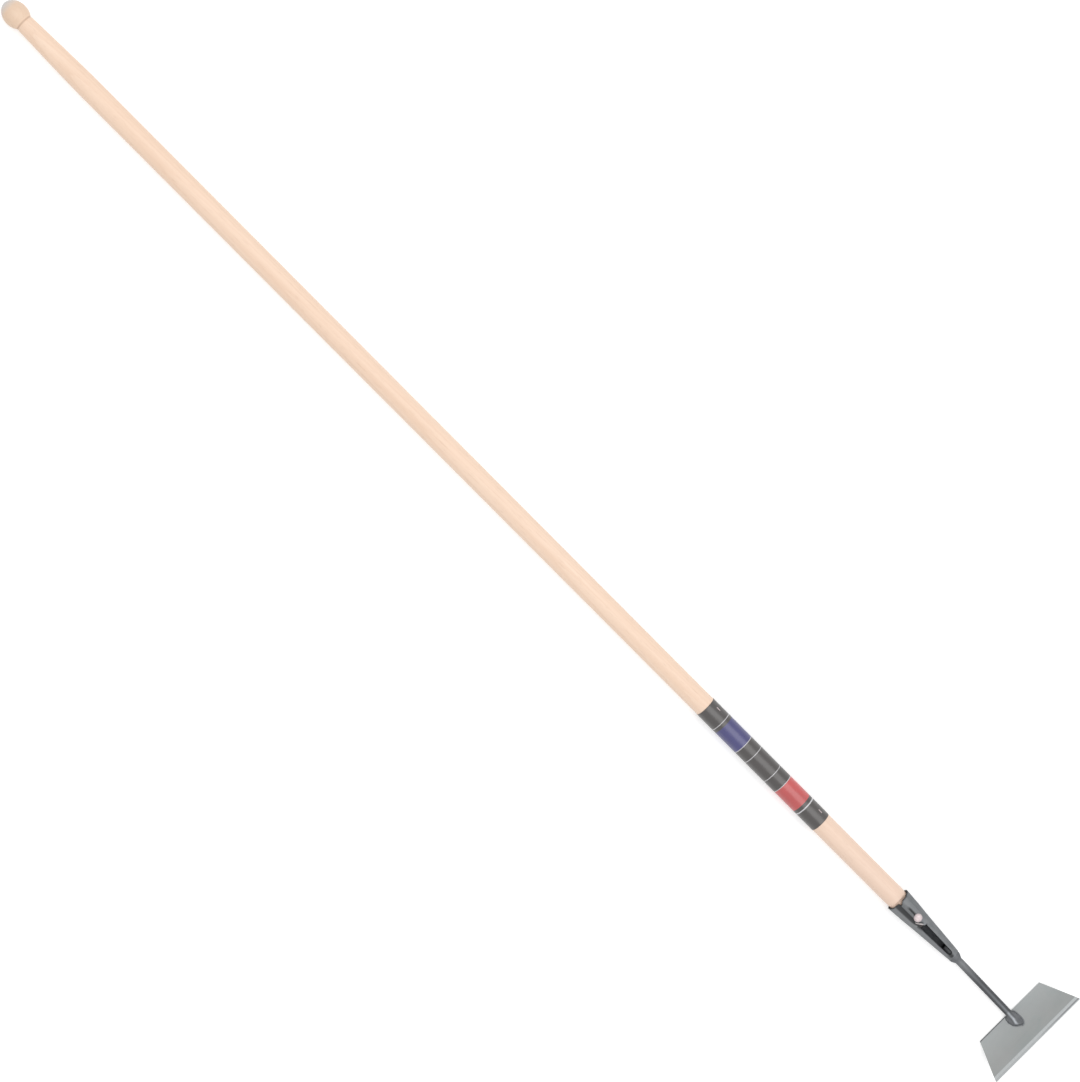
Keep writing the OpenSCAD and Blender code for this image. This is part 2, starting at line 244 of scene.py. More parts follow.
def swept(mesh_mm, slices, corners, closed=False):
    """A ring of corners drawn through slices. Each slice turns an angle round the ring into a point."""
    angle = mesh_mm.verts.layers.float.new("angle")
    ring = bmesh.ops.create_circle(mesh_mm, cap_ends=False, segments=corners, radius=1)["verts"]
    for corner in ring:
        corner[angle] = math.atan2(corner.co.y, corner.co.x)
    hoop = list({edge for corner in ring for edge in corner.link_edges})
    first_hoop = hoop
    for corner in ring:
        corner.co = slices[0](corner[angle])
    for cut in slices[1:]:
        drawn = bmesh.ops.extrude_edge_only(mesh_mm, edges=hoop)["geom"]
        hoop = [part for part in drawn if isinstance(part, bmesh.types.BMEdge)]
        for corner in drawn:
            if isinstance(corner, bmesh.types.BMVert):
                corner.co = cut(corner[angle])
    if closed:
        bmesh.ops.bridge_loops(mesh_mm, edges=first_hoop + hoop)
    else:
        bmesh.ops.edgeloop_fill(mesh_mm, edges=first_hoop)
        bmesh.ops.edgeloop_fill(mesh_mm, edges=hoop)
    bmesh.ops.recalc_face_normals(mesh_mm, faces=mesh_mm.faces)


def painted(finish, name):
    """A value laid on the mesh corner by corner."""
    return node(finish, "Attribute", {}, attribute_name=name).outputs["Fac"]


nose_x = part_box("socket")[1].x * 1000
axis_z = (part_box("handle")[0].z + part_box("handle")[1].z) * 500
rod_half = 4.9
rod_thin = 4.6
rod_chamfer = 0.6
rod_start = nose_x - 17
set_bend = 40
set_steps = 6
heel_bend = 10
heel_steps = 18
# The middle of each bend in X and Z, and the angle at which the rod falls between them
set_turn = Vector((nose_x + 11, axis_z - set_bend))
heel_turn = Vector((heel_x - 6.01, 17.11))
run = heel_turn - set_turn
rod_fall = math.asin((set_bend + heel_bend) / run.length) - math.atan2(run.y, run.x)
rod_stray = 1.9
flare_half = 5.2
flare_left = 1.7
flare_right = 3.5
flare_ridge = 9.2
flare_flat = 0.6
palm_edge = 2.9
palm_gap = 0.05
ridge_half = 2.7
ridge_off = 0.8
ridge_veer = 1.9
ridge_settled = 8
# Along the palm: distance from the heel, reach towards +Y and towards -Y, ridge height, share hammered flat
palm_steps = (
    (8.6, 7.0, 8.7, 8.7, 0.72), (10, 7.2, 8.7, 8.1, 0.82), (11.5, 7.3, 8.1, 7.5, 0.92),
    (13, 7.3, 7.7, 6.9, 0.97), (14.5, 7.3, 7.4, 6.3, 1), (16, 7.3, 7.0, 5.9, 1),
    (17.5, 7.2, 6.2, 5.5, 1), (19, 7.0, 5.0, 5.1, 1), (20.5, 6.7, 3.4, 4.6, 1), (21.9, 6.1, 1.6, 4.0, 1),
    (23, 5.5, -0.2, 3.4, 1), (23.9, 4.9, -1.5, 3.1, 1), (24.5, 4.3, -2.7, 2.8, 1),
)

forge_shade = (0.146, 0.152, 0.16, 1)
forge_light = (0.194, 0.201, 0.21, 1)
forge_speck = (0.215, 0.222, 0.232, 1)
nose_highlight_grey = (0.27, 0.278, 0.286, 1)
rod_shade_black = (0.07, 0.071, 0.078, 1)
crest_highlight_grey = (0.5, 0.525, 0.555, 1)
nose_shade_black = (0.025, 0.026, 0.028, 1)


def crest_y(up):
    """Where the ridge runs on the palm. Past the middle it veers off towards -Y."""
    return -ridge_off * ease(up, 0, ridge_settled) - ridge_veer * ease(up, 11, 21)


def forged_slice(foot, lean, half, left, right, ridge, flat, crest):
    """A slice that goes over from round to a flat palm with a ridge, standing on its foot, leaning back."""
    def point(turn):
        side, lift = math.cos(turn), math.sin(turn)
        palm_y = (left - right) / 2 + (left + right) / 2 * math.copysign(abs(side) ** 0.7, side)
        palm_z = palm_edge * (0.5 + 0.5 * math.copysign(abs(lift) ** 0.45, lift))
        on_ridge = max(lift, 0) ** 0.5 * math.exp(-(((palm_y - crest) / ridge_half) ** 2))
        palm_z += (ridge - palm_edge) * on_ridge
        y = half * side * (1 - flat) + palm_y * flat
        z = half * (1 + lift) * (1 - flat) + palm_z * flat
        return foot + Vector((-math.sin(lean) * z, y, math.cos(lean) * z))
    return point


def rod_slice(middle_x, middle_z, lean, half, left=0, right=0, ridge=0, flat=0):
    """The same for a slice of the rod round a point of its middle line."""
    foot = Vector((middle_x + math.sin(lean) * half, 0, middle_z - math.cos(lean) * half))
    return forged_slice(foot, lean, half, left, right, ridge, flat, crest_y(ridge_settled * flat))


def rod_drift(x):
    """How far the rod strays towards -Y on its way to the palm, as hand-forged rods do."""
    return rod_stray * ease(x, nose_x + 47, heel_x + 2)


neck_slices = [
    rod_slice(rod_start, axis_z, 0, rod_half - rod_chamfer),
    rod_slice(rod_start + rod_chamfer, axis_z, 0, rod_half),
]
for step in range(set_steps + 1):
    lean = rod_fall * step / set_steps
    middle = set_turn + Vector((math.sin(lean), math.cos(lean))) * set_bend
    neck_slices.append(rod_slice(middle.x, middle.y, -lean, rod_half))
for step in range(heel_steps + 1):
    lean = -rod_fall + (blade_pitch + rod_fall) * step / heel_steps
    middle = heel_turn + Vector((math.sin(lean), -math.cos(lean))) * heel_bend
    flare = ease(step / heel_steps, 0.3, 1.0)
    neck_slices.append(rod_slice(
        middle.x, middle.y, lean, rod_thin,
        flare_half + flare_left * flare, flare_half + flare_right * flare, flare_ridge, flare_flat * flare,
    ))
for up, left, right, ridge, flat in palm_steps:
    foot = on_blade @ Vector((up, 0, blade_thick + palm_gap))
    neck_slices.append(forged_slice(foot, blade_pitch, rod_thin, left, right, ridge, flat, crest_y(up)))

neck_mesh = bmesh.new()
swept(neck_mesh, neck_slices, 56)
crest_highlight_layer = neck_mesh.verts.layers.float.new("painted_highlight")
nose_shade_layer = neck_mesh.verts.layers.float.new("nose_shade")
from_blade = on_blade.inverted()
for corner in neck_mesh.verts:
    up, y, lift = from_blade @ corner.co
    # Painted highlight: marks the corners along the palm's ridge that are painted bright.
    crest = ease(abs(y - crest_y(up)), 2.3, 0.5) * ease(lift - blade_thick, 2.9, 4.0)
    corner[crest_highlight_layer] = crest * ease(up, 0, 6) * ease(up, 24, 18)
    # Painted shade inside the socket's nose.
    corner[nose_shade_layer] = ease(corner.co.x, nose_x + 1, nose_x - 3)
    corner.co.y -= rod_drift(corner.co.x)

forged_grey = new_finish("lacquered_forging", Metallic=0.6, Specular_Tint=(0.3, 0.31, 0.33, 1))
forge_scale = noise(forged_grey, (130, 170, 170), 4)
scaled = tinted(forged_grey, spread(forged_grey, forge_scale, 0.35, 0.68), forge_shade, forge_light)
scaled = tinted(
    forged_grey, spread(forged_grey, noise(forged_grey, (700, 900, 900), 2), 0.6, 0.75, 0.0, 0.5),
    scaled, forge_speck,
)
along_rod = place_mm(forged_grey, "X")
# Painted highlight: the rod is lighter just past the socket's nose.
nose_highlight = worked(
    forged_grey, "MULTIPLY",
    spread(forged_grey, along_rod, nose_x + 6, nose_x + 14),
    spread(forged_grey, along_rod, nose_x + 45, nose_x + 20, 0.0, 0.3),
)
scaled = tinted(forged_grey, nose_highlight, scaled, nose_highlight_grey)
# Painted shade: the rod darkens from past the nose down to the heel bend. The same band also makes it
# rougher.
rod_shade_and_roughness = worked(
    forged_grey, "MULTIPLY",
    spread(forged_grey, along_rod, nose_x + 16, nose_x + 50, 0.0, 0.34),
    spread(forged_grey, along_rod, heel_x + 1, heel_x - 7),
)
scaled = tinted(forged_grey, rod_shade_and_roughness, scaled, rod_shade_black)
# Painted highlight along the palm's ridge and on the +Y side of the foot weld.
crest_highlight = worked(
    forged_grey, "MULTIPLY",
    painted(forged_grey, "painted_highlight"), spread(forged_grey, forge_scale, 0.2, 0.6, 0.6, 1.0),
)
scaled = tinted(forged_grey, crest_highlight, scaled, crest_highlight_grey)
# Painted shade: the rod's end inside the socket's nose is darkened.
in_nose_shade = worked(forged_grey, "MULTIPLY", painted(forged_grey, "nose_shade"), 0.85)
scaled = tinted(forged_grey, in_nose_shade, scaled, nose_shade_black)
dress(
    forged_grey, scaled,
    worked(forged_grey, "ADD", spread(forged_grey, forge_scale, 0.3, 0.7, 0.52, 0.66), rod_shade_and_roughness),
    noise(forged_grey, (420, 420, 420), 3), 0.00012,
)

neck = bench_piece("neck_rod", neck_mesh, forged_grey, 40)
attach(neck, "root")
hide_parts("neck")


# Foot weld
# The bead that runs round the palm and holds it on the blade. It was laid by hand in short ripples, and
# took the same grey lacquer.

bead_half = 0.9
bead_high = 1.0
bead_steps = 132
bead_ripple = 0.1
bead_wander = 0.07
# Distance from the heel and place across the blade, once round the palm
bead_path = [(2.0, -6.6), (1.4, -2.4), (1.4, 2), (2.0, 5.4), (4, 6.9), (6.5, 7.3)]
bead_path += [(up, left + 0.3) for up, left, right, ridge, flat in palm_steps]
bead_path += [(25.6, 0.9)]
bead_path += [(up + 0.2, -right - 0.3) for up, left, right, ridge, flat in reversed(palm_steps)]
bead_path += [(6.5, -8.6), (4, -8.2)]


def walked(path, count):
    """A closed path walked in so many equal steps."""
    legs = [(Vector(start), Vector(end)) for start, end in zip(path, path[1:] + path[:1])]
    total = sum((end - start).length for start, end in legs)
    points = []
    for step in range(count):
        to_go = total * step / count
        for start, end in legs:
            if to_go <= (end - start).length:
                points.append(start.lerp(end, to_go / (end - start).length))
                break
            to_go -= (end - start).length
    return points


def bead_slice(before, here, after, swell):
    """A slice of the bead across its path on the blade's top side."""
    ahead = (after - before).normalized()

    def point(turn):
        y = bead_half * swell * math.cos(turn)
        z = bead_high * swell * max(math.sin(turn), -0.35)
        laid = on_blade @ Vector((here.x - ahead.y * y, here.y + ahead.x * y, blade_thick + z))
        laid.y -= rod_drift(laid.x)
        return laid
    return point


bead_points = walked(bead_path, bead_steps)
bead_slices = []
for step, here in enumerate(bead_points):
    swell = 0.92 + bead_ripple * math.sin(step * 1.57) + bead_wander * math.sin(step * 0.41 + 1)
    after = bead_points[(step + 1) % bead_steps]
    bead_slices.append(bead_slice(bead_points[step - 1], here, after, swell))
foot_weld_mesh = bmesh.new()
swept(foot_weld_mesh, bead_slices, 12, closed=True)
bead_highlight_layer = foot_weld_mesh.verts.layers.float.new("painted_highlight")
# Painted highlight: the bead is lighter towards +Y.
for corner in foot_weld_mesh.verts:
    corner[bead_highlight_layer] = 0.14 + 0.16 * ease(corner.co.y, -4, 4)

foot_weld = bench_piece("foot_weld_bead", foot_weld_mesh, forged_grey, 60)
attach(foot_weld, "root")
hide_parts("foot_weld")


# Socket
# A fan-shaped blank of 1.5 mm sheet rolled into a cone, with one wing lapped over the other at the mouth
# and a slot left open below. The wings are cut back at the seam. Shade is painted dark into the tuck under
# the lap, the crease, the rim and round the lap's end.

def rolled_sheet(mesh_mm, rows, turns, place):
    """A blank with rows along the handle and turns round it, rolled to its place. Returns its corners."""
    sheet = bmesh.ops.create_grid(
        mesh_mm, x_segments=len(rows) - 1, y_segments=len(turns) - 1, size=0.5,
    )["verts"]
    laid_out = []
    for corner in sheet:
        row = rows[round((corner.co.x + 0.5) * (len(rows) - 1))]
        turn = turns[round((corner.co.y + 0.5) * (len(turns) - 1))]
        corner.co = place(row, turn)
        laid_out.append((corner, row, turn))
    return laid_out


# What lies along the socket is counted from its mouth, and turns in degrees from the top towards +Y
mouth_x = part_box("socket")[0].x * 1000
sheet_thick = 1.5
rim_round = 0.28
cone_length = 102
cone_marks = ((0, 15.5), (24, 14.3), (90, 8.95), (cone_length, 7.9))
knee_half = 4
out_of_round = 0.42
mouth_widen = 0.85
mouth_widen_end = 40
rim_cut = 0.9
wing_cut_left = 0.8
wing_cut_right = 1.4
lip_cut = 3.5
notch_cut = 4.5
lap_end = 35.2
lap_slant = 0.46
lap_reach = 45
lap_weld = 40.2
lap_lift = 1.65
lip_y = -2.6
lip_drawn = 2.6
lip_first = -9.7
crease_turn = 7.5
crease_half = 4.2
crease_share = 0.85
tuck_depth = 1.3
groove_depth = 1.2
groove_turn = 342
groove_half = 21
slot_y = -1.0
slot_ends = (40.9, 97.0)
slot_halves = (4.8, 3.6)
seam_turn = -2.7

lacquer_shade = (0.184, 0.194, 0.202, 1)
lacquer_light = (0.232, 0.24, 0.247, 1)
lacquer_violet = (0.195, 0.185, 0.215, 1)
lacquer_speck = (0.28, 0.29, 0.295, 1)
reflection_pale = (0.285, 0.292, 0.298, 1)
tuck_shade_black = (0.036, 0.037, 0.038, 1)
lip_highlight_tone = (0.52, 0.475, 0.47, 1)
inside_shade_dark = (0.072, 0.077, 0.085, 1)
inside_shade_light = (0.112, 0.117, 0.126, 1)


def cone_half(along):
    """The socket's outer radius at a distance from its mouth, with its two knees eased."""
    def straight(along):
        for (start, start_half), (end, end_half) in zip(cone_marks, cone_marks[1:]):
            if along <= end or end == cone_length:
                return start_half + (end_half - start_half) * (along - start) / (end - start)
    return (straight(along - knee_half) + 2 * straight(along) + straight(along + knee_half)) / 4


def valley_turn(along):
    """Where the wing under the lap starts to be pressed in. It draws closer to the seam before the slot."""
    return 319 + 6 * ease(along, 32, 42)


def tuck(along, turn):
    """How far the wing under the lap is pressed in towards the wood."""
    round_turn = (turn - 180) % 360 + 180
    wing = ease(round_turn, valley_turn(along) - 2, 333) * ease(round_turn, 407, 387)
    return tuck_depth * wing * ease(along, 52, 38)


def side_swell(turn):
    """How far the roll stands out of round towards +Y."""
    return out_of_round * math.exp(-(((turn % 360 - 95) / 45) ** 2))


def mouth_spread(along, turn):
    """How far the mouth is spread at its top and sides, where the handle was driven in."""
    return mouth_widen * max(0.0, 1 - along / mouth_widen_end) * ease(abs(turn % 360 - 180), 20, 80)


def nose_groove(along, turn):
    """How deep the seam is pressed in where the slot runs out into the nose."""
    round_turn = (turn - 180) % 360 + 180
    groove = math.exp(-(((round_turn - groove_turn) / groove_half) ** 2))
    groove *= ease(along, slot_ends[1] - 3, slot_ends[1]) * ease(along, cone_length, cone_length - 2)
    return groove_depth * groove


def slot_half(along):
    """Half the slot's width, with a round end at both ends."""
    top_mid = slot_ends[0] + slot_halves[0]
    low_mid = slot_ends[1] - slot_halves[1]
    if along <= slot_ends[0] or along >= slot_ends[1]:
        return 0
    if along < top_mid:
        return math.sqrt(slot_halves[0] ** 2 - (top_mid - along) ** 2)
    if along > low_mid:
        return math.sqrt(slot_halves[1] ** 2 - (along - low_mid) ** 2)
    return slot_halves[0] + (slot_halves[1] - slot_halves[0]) * (along - top_mid) / (low_mid - top_mid)


def round_axis(along, half, turn):
    """A point so far from the mouth and from the handle's middle line, at a turn."""
    turn = math.radians(turn)
    return Vector((mouth_x + along, half * math.sin(turn), axis_z + half * math.cos(turn)))


def on_mouth(row, turn):
    """A point of the lapped mouth. Turns below 47 degrees lie on the upper wing."""
    upper = ease(turn, 47, 36)
    cut_back = rim_cut + wing_cut_left * ease(turn, 85, 35) + wing_cut_right * ease(turn, 275, 325)
    cut_back += lip_cut * ease(turn, 13, -8) + notch_cut * ease(turn, 345, 355)
    tongue = lap_weld
    if upper > 0:
        slant = lap_end + lap_slant * (turn - lip_first)
        tongue += (min(slant, lap_reach) - lap_weld) * ease(turn, 44, 20)
    along = cut_back + row * (tongue - cut_back) / lap_weld
    half = cone_half(along) - tuck(along, turn) * (1 - upper)
    half += mouth_spread(along, turn) + side_swell(turn)
    crease = math.exp(-(((turn - crease_turn) / crease_half) ** 2))
    crease *= ease(along, 11, 15) * ease(along, 30, 26)
    half += lap_lift * upper * (1 - crease_share * crease)
    lip_turn = math.degrees(math.asin((lip_y - lip_drawn * ease(along, 28, 35)) / half))
    turn += (lip_turn - lip_first) * ease(turn, 30, lip_first)
    return round_axis(along, half, turn)


def on_cone(row, turn):
    """A point of the cone below the lap, where the blank's two sides stand apart at the slot."""
    half = cone_half(row)
    middle = math.degrees(math.asin(slot_y / half))
    wide = slot_half(row)
    from_seam = turn - seam_turn
    if wide:
        near = math.degrees(math.asin((slot_y + wide) / half)) - seam_turn
        far = math.degrees(math.asin((slot_y - wide) / half)) - seam_turn
        turn += near * ease(from_seam, 80, 0) + far * ease(from_seam, 280, 360)
    else:
        shift = (middle - seam_turn) * ease(row, slot_ends[0], slot_ends[1])
        turn += shift * (ease(from_seam, 80, 0) + ease(from_seam, 280, 360))
    return round_axis(row, half + side_swell(turn) - tuck(row, turn) - nose_groove(row, turn), turn)


lip_turns = [lip_first + step for step in range(56)]
seam_turns = [seam_turn + 2 * step for step in range(181)]
under_turns = [seam_turn + 360 + 2 * step for step in range(1, 16)]
mouth_turns = lip_turns + [turn for turn in seam_turns if turn > lip_turns[-1] + 1] + under_turns
mouth_rows = [0, 0.4, 0.9, 1.5, 2.2, 3, 4.5, 6, 7.5] + [9 + 1.5 * step for step in range(15)]
mouth_rows += [31 + 0.7 * step for step in range(13)] + [lap_weld]
end_steps = [0, 0.04, 0.15, 0.35, 0.65, 1.05, 1.55, 2.1]
slot_rows = [slot_ends[0] + step for step in end_steps]
slot_rows += [43.8 + 1.5 * step for step in range(34)]
slot_rows += [slot_ends[1] - step for step in reversed(end_steps)]
cone_rows = [lap_weld, 40.5] + slot_rows + [97.6, 98.4, 99.4, 100.4, 101.4, cone_length]

socket_mesh = bmesh.new()
tuck_shade = socket_mesh.verts.layers.float.new("tuck_shade")
lip_highlight = socket_mesh.verts.layers.float.new("lip_highlight")
for corner, row, turn in rolled_sheet(socket_mesh, mouth_rows, mouth_turns, on_mouth):
    # Painted shade: dark in the valley under the lap, in the crease, along the rim, round the lap's end and
    # faintly along the lip.
    from_weld = lap_weld - row
    in_valley = ease(turn, valley_turn(row), valley_turn(row) + 9)
    in_crease = math.exp(-(((turn - 8) / 5.5) ** 2)) * ease(row, 9, 15) * ease(row, 35, 28)
    on_rim = 0.8 * ease(row, 1.2, 0.6)
    by_end = ease(turn, 18, 10) * ease(from_weld, 6.6, 5.2) * ease(from_weld, 2.4, 3.2)
    by_lip = 0.4 * ease(turn, 14, 2)
    corner[tuck_shade] = max(in_valley, in_crease, on_rim, by_end, by_lip)
    # Painted highlight along the slanted end of the lap.
    corner[lip_highlight] = ease(turn, 12, 5) * ease(from_weld, 2.9, 2.3)
for corner, row, turn in rolled_sheet(socket_mesh, cone_rows, seam_turns, on_cone):
    # Painted shade beside the slot's top and in the groove at the nose.
    from_top = math.degrees(math.atan2(corner.co.y, corner.co.z - axis_z))
    by_slot = ease(from_top, -40, -30) * ease(from_top, 30, 18) * ease(row, 50, 42)
    corner[tuck_shade] = max(by_slot, min(1.0, 1.1 * nose_groove(row, from_top)))
bmesh.ops.remove_doubles(socket_mesh, verts=socket_mesh.verts, dist=0.02)

grey_lacquer = new_finish("grey_lacquer", Metallic=0.6, Specular_Tint=(0.28, 0.29, 0.3, 1))
mottle = noise(grey_lacquer, (110, 150, 150), 3)
lacquered = tinted(grey_lacquer, spread(grey_lacquer, mottle, 0.35, 0.66), lacquer_shade, lacquer_light)
lacquered = tinted(
    grey_lacquer, spread(grey_lacquer, noise(grey_lacquer, (40, 60, 60), 2), 0.55, 0.75, 0.0, 0.5),
    lacquered, lacquer_violet,
)
lacquered = tinted(
    grey_lacquer, spread(grey_lacquer, noise(grey_lacquer, (260, 1100, 1100), 2), 0.62, 0.78, 0.0, 0.4),
    lacquered, lacquer_speck,
)
# Painted reflection: the lacquer is lighter towards -Y.
side_reflection = spread(grey_lacquer, place_mm(grey_lacquer, "Y"), -2, -8, 0.0, 0.4)
lacquered = tinted(grey_lacquer, side_reflection, lacquered, reflection_pale)
# Painted shade in the tuck, the crease and the other places laid on the mesh above.
in_tuck_shade = worked(grey_lacquer, "MULTIPLY", painted(grey_lacquer, "tuck_shade"), 0.85)
lacquered = tinted(grey_lacquer, in_tuck_shade, lacquered, tuck_shade_black)
# Painted highlight along the slanted end of the lap.
on_lip_highlight = worked(grey_lacquer, "MULTIPLY", painted(grey_lacquer, "lip_highlight"), 0.9)
lacquered = tinted(grey_lacquer, on_lip_highlight, lacquered, lip_highlight_tone)
dress(
    grey_lacquer, lacquered, spread(grey_lacquer, mottle, 0.3, 0.7, 0.5, 0.62),
    noise(grey_lacquer, (380, 380, 380), 3), 0.0001,
)

# Painted shade: the inside of the socket is a near-black grey.
dark_inside = new_finish("dark_socket_inside", Metallic=0.2)
inside_tone_mix = tinted(
    dark_inside, spread(dark_inside, noise(dark_inside, (150, 200, 200), 4), 0.35, 0.65),
    inside_shade_dark, inside_shade_light,
)
dress(
    dark_inside, inside_tone_mix, spread(dark_inside, noise(dark_inside, (90, 90, 90), 2), 0.3, 0.7, 0.6, 0.8),
    noise(dark_inside, (500, 500, 500), 3), 0.0001,
)

socket = bench_piece("rolled_socket", socket_mesh, grey_lacquer, 50)
socket.data.materials.append(dark_inside)
wall = socket.modifiers.new("wall", "SOLIDIFY")
wall.thickness = sheet_thick / 1000
wall.offset = -1
wall.use_even_offset = True
wall.material_offset = 1
wall.material_offset_rim = 0
rims = socket.modifiers.new("rims", "BEVEL")
rims.width = rim_round / 1000
rims.segments = 2
rims.limit_method = "ANGLE"
rims.angle_limit = math.radians(50)
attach(socket, "root")
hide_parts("socket")


# Socket weld
# A fillet weld all round that closes the socket's nose on the rod, laid while the head was turned, so it
# has even ripples. It is lacquered with the rest of the head.

def turned(mesh_mm, profile, steps, place):
    """A profile of (distance, radius) points turned on a lathe about its own X axis, then set in place."""
    line = [mesh_mm.verts.new((along, 0, radius)) for along, radius in profile]
    edges = [mesh_mm.edges.new(pair) for pair in zip(line, line[1:])]
    bmesh.ops.spin(
        mesh_mm, geom=line + edges, cent=(0, 0, 0), axis=(1, 0, 0), dvec=(0, 0, 0),
        angle=math.tau, steps=steps, use_merge=True,
    )
    bmesh.ops.remove_doubles(mesh_mm, verts=mesh_mm.verts, dist=0.0005)
    bmesh.ops.recalc_face_normals(mesh_mm, faces=mesh_mm.faces)
    bmesh.ops.transform(mesh_mm, matrix=place, verts=mesh_mm.verts)


ripples_round = 26
ripple_share = 0.018
lopsided_share = 0.02
fillet_start = -1.2
fillet_end = 9.9
fillet_bore = 4.7
fillet = [
    (fillet_start, fillet_bore), (fillet_start, 6.8), (-0.4, 7.55), (0.6, 7.75), (1.8, 7.75), (3, 7.65),
    (4.2, 7.35), (5.4, 6.85), (6.6, 6.2), (7.8, 5.6), (8.8, 5.2), (9.6, 5.0), (fillet_end, 4.85),
    (fillet_end, fillet_bore), (fillet_start, fillet_bore),
]

socket_weld_mesh = bmesh.new()
turned(socket_weld_mesh, fillet, 120, Matrix.Translation((nose_x, 0, axis_z)))
for corner in socket_weld_mesh.verts:
    from_nose = corner.co.x - nose_x
    y, z = corner.co.y, corner.co.z - axis_z
    if math.hypot(y, z) > fillet_bore + 0.1:
        turn = math.atan2(y, z)
        ripple = math.sin(ripples_round * turn + 1.1 * from_nose) * ease(from_nose, fillet_end, 7)
        swell = ripple_share * ripple + lopsided_share * math.sin(3 * turn + 1)
        corner.co.y = y * (1 + swell)
        corner.co.z = axis_z + z * (1 + swell)

socket_weld = bench_piece("socket_weld_bead", socket_weld_mesh, forged_grey, 60)
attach(socket_weld, "root")
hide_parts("socket_weld")


# Handle
# One straight-grained ash pole, turned on a lathe with an egg-shaped knob, a thin neck behind it and a
# tapered tail that is driven into the socket. It was sanded and given a thin clear lacquer.

knob_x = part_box("handle")[0].x * 1000
knob_half = 15.6
knob_widest = 19.57
knob_turn = 132.5
knob_steps = 40
grip_start = 35.4
grip_length = 108
grip_thinner = 2.6
grip_steps = 14
shank_half = 14
shank_start = 165
shank_step = 51.5
thin_start = 1200
thin_step = 59
thin_by = 0.1
handle_length = 1600
tail_start = mouth_x - knob_x
tail_half = 13.3
tail_rows = (2, 4, 6, 9, 12, 16, 20, 24, 28, 32, 36, 40, 42)
pith_place = (0, 0.013, -0.021)
pith_lean = (0, 0.009, 0.006)
rings_to_metre = 430

ash_light = (0.94, 0.72, 0.565, 1)
ash_shade = (0.9, 0.665, 0.505, 1)
late_brown = (0.82, 0.57, 0.41, 1)
fibre_brown = (0.78, 0.54, 0.385, 1)
pore_brown = (0.55, 0.33, 0.2, 1)
ash_pink = (0.8, 0.595, 0.49, 1)
knob_tan = (0.72, 0.53, 0.375, 1)
groove_brown = (0.46, 0.3, 0.2, 1)
knob_end_shade_grey = (0.65, 0.635, 0.625, 1)
tail_shade_brown = (0.3, 0.2, 0.16, 1)
tail_shade_black = (0.045, 0.04, 0.042, 1)

pole = []
for step in range(knob_steps + 1):
    turn = math.radians(knob_turn * step / knob_steps)
    pole.append((knob_widest * (1 - math.cos(turn)), knob_half * math.sin(turn)))
pole += [(33.0, 11.2), (33.3, 10.95), (33.8, 10.9), (34.3, 11.0), (34.8, 11.2), (grip_start, 11.4)]
for step in range(1, grip_steps + 1):
    thinner = grip_thinner * (1 - step / grip_steps) ** 1.4
    pole.append((grip_start + grip_length * step / grip_steps, shank_half - thinner))
pole += [(shank_start + shank_step * step, shank_half) for step in range(21)]
pole += [(thin_start + thin_step * step, shank_half - thin_by * step / 6) for step in range(6)]
pole += [(tail_start - 7, 13.9), (tail_start - 3, 13.75)]
pole += [(tail_start - 0.5, 13.55), (tail_start + 0.8, 13.4)]
pole += [(tail_start + along, min(cone_half(along) - 1.62, tail_half)) for along in tail_rows]
pole += [(handle_length - 1.6, cone_half(43.4) - 1.7), (handle_length - 0.4, cone_half(45) - 2.3)]
pole += [(handle_length, cone_half(45) - 3.2), (handle_length, 0)]

handle_mesh = bmesh.new()
turned(handle_mesh, pole, 96, Matrix.Translation((knob_x, 0, axis_z)))
for corner in handle_mesh.verts:
    along = corner.co.x - mouth_x
    half = math.hypot(corner.co.y, corner.co.z - axis_z)
    if along > 0.5 and half > 1:
        turn = math.degrees(math.atan2(corner.co.y, corner.co.z - axis_z))
        corner.co = round_axis(along, half - tuck(along, turn) - 0.05 * ease(along, 0.5, 4), turn)

ash_wood = new_finish("lacquered_ash", Coat_Weight=0.12, Coat_Roughness=0.3)
from_pith = node(
    ash_wood, "Mapping",
    {"Vector": own_place(ash_wood), "Location": pith_place, "Rotation": pith_lean, "Scale": (1e6, 1, 1)},
    vector_type="TEXTURE",
).outputs["Vector"]
pith_distance = node(ash_wood, "VectorMath", {0: from_pith}, operation="LENGTH").outputs["Value"]
wander = spread(ash_wood, noise(ash_wood, (1.4, 70, 70), 2), 0.0, 1.0, -0.0012, 0.0012)
rings = worked(ash_wood, "MULTIPLY", worked(ash_wood, "ADD", pith_distance, wander), rings_to_metre)
year = node(ash_wood, "Math", {0: rings}, operation="FRACT").outputs["Value"]
late_wood = worked(
    ash_wood, "MULTIPLY", spread(ash_wood, year, 0.35, 0.92), spread(ash_wood, year, 1.0, 0.94, 0.0, 0.32),
)
fibres = noise(ash_wood, (9, 1500, 1500), 3)
pores = spread(ash_wood, noise(ash_wood, (55, 2600, 2600), 1), 0.66, 0.76)
boards = noise(ash_wood, (2.6, 55, 55), 3)
wood = tinted(ash_wood, spread(ash_wood, boards, 0.3, 0.7), ash_light, ash_shade)
wood = tinted(ash_wood, late_wood, wood, late_brown)
wood = tinted(ash_wood, spread(ash_wood, fibres, 0.5, 0.8, 0.0, 0.35), wood, fibre_brown)
wood = tinted(ash_wood, worked(ash_wood, "MULTIPLY", pores, 0.45), wood, pore_brown)
along_pole = place_mm(ash_wood, "X")
wood = tinted(ash_wood, spread(ash_wood, along_pole, 250, 600, 0.0, 0.5), wood, ash_pink)
worn_knob = spread(ash_wood, along_pole, knob_x + 34.5, knob_x + 30, 0.0, 0.5)
wood = tinted(ash_wood, worn_knob, wood, knob_tan)
